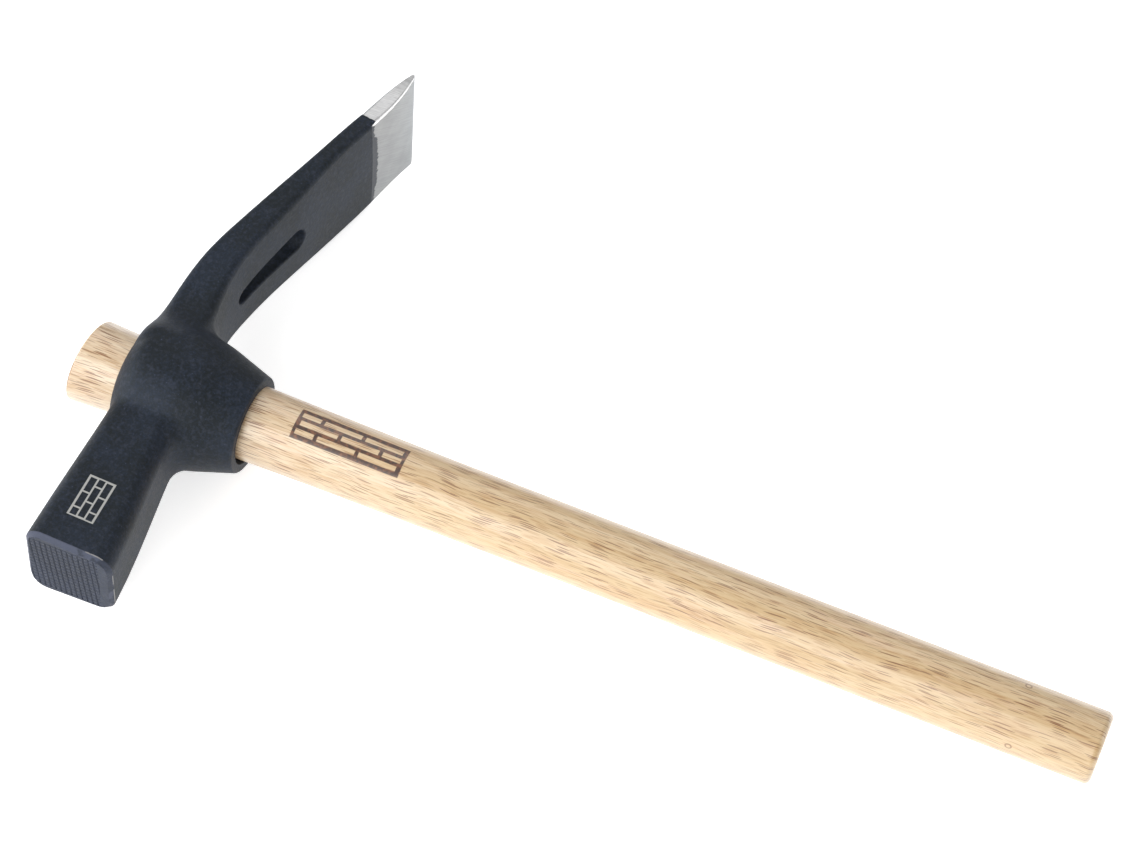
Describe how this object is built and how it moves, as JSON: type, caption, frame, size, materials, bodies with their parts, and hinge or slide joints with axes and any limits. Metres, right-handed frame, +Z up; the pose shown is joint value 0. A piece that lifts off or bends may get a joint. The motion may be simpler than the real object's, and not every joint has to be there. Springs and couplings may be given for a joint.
{
  "type": "brick hammer",
  "caption": "Brick hammer: forged head with a square milled striking face and a drooping adze blade with a nail slot, on a round wooden handle through a conical eye.",
  "frame": {"origin": "centre of the underside of the bounding box, with the hammer lying on its side", "axes": "+X down the handle from its top end to the butt, +Y from the striking face towards the blade's cutting edge, +Z up"},
  "size_m": [0.3216, 0.1978, 0.0432],
  "materials": {
    "coated_steel": "satin blue-black coating, rubbed thin round the striking face; the last 20 mm of the blade are bare ground steel",
    "lacquered_wood": "clear satin lacquer over pale straight-grained hardwood"
  },
  "bodies": {
    "root": {"head": "coated_steel", "handle": "lacquered_wood"}
  },
  "joints": []
}
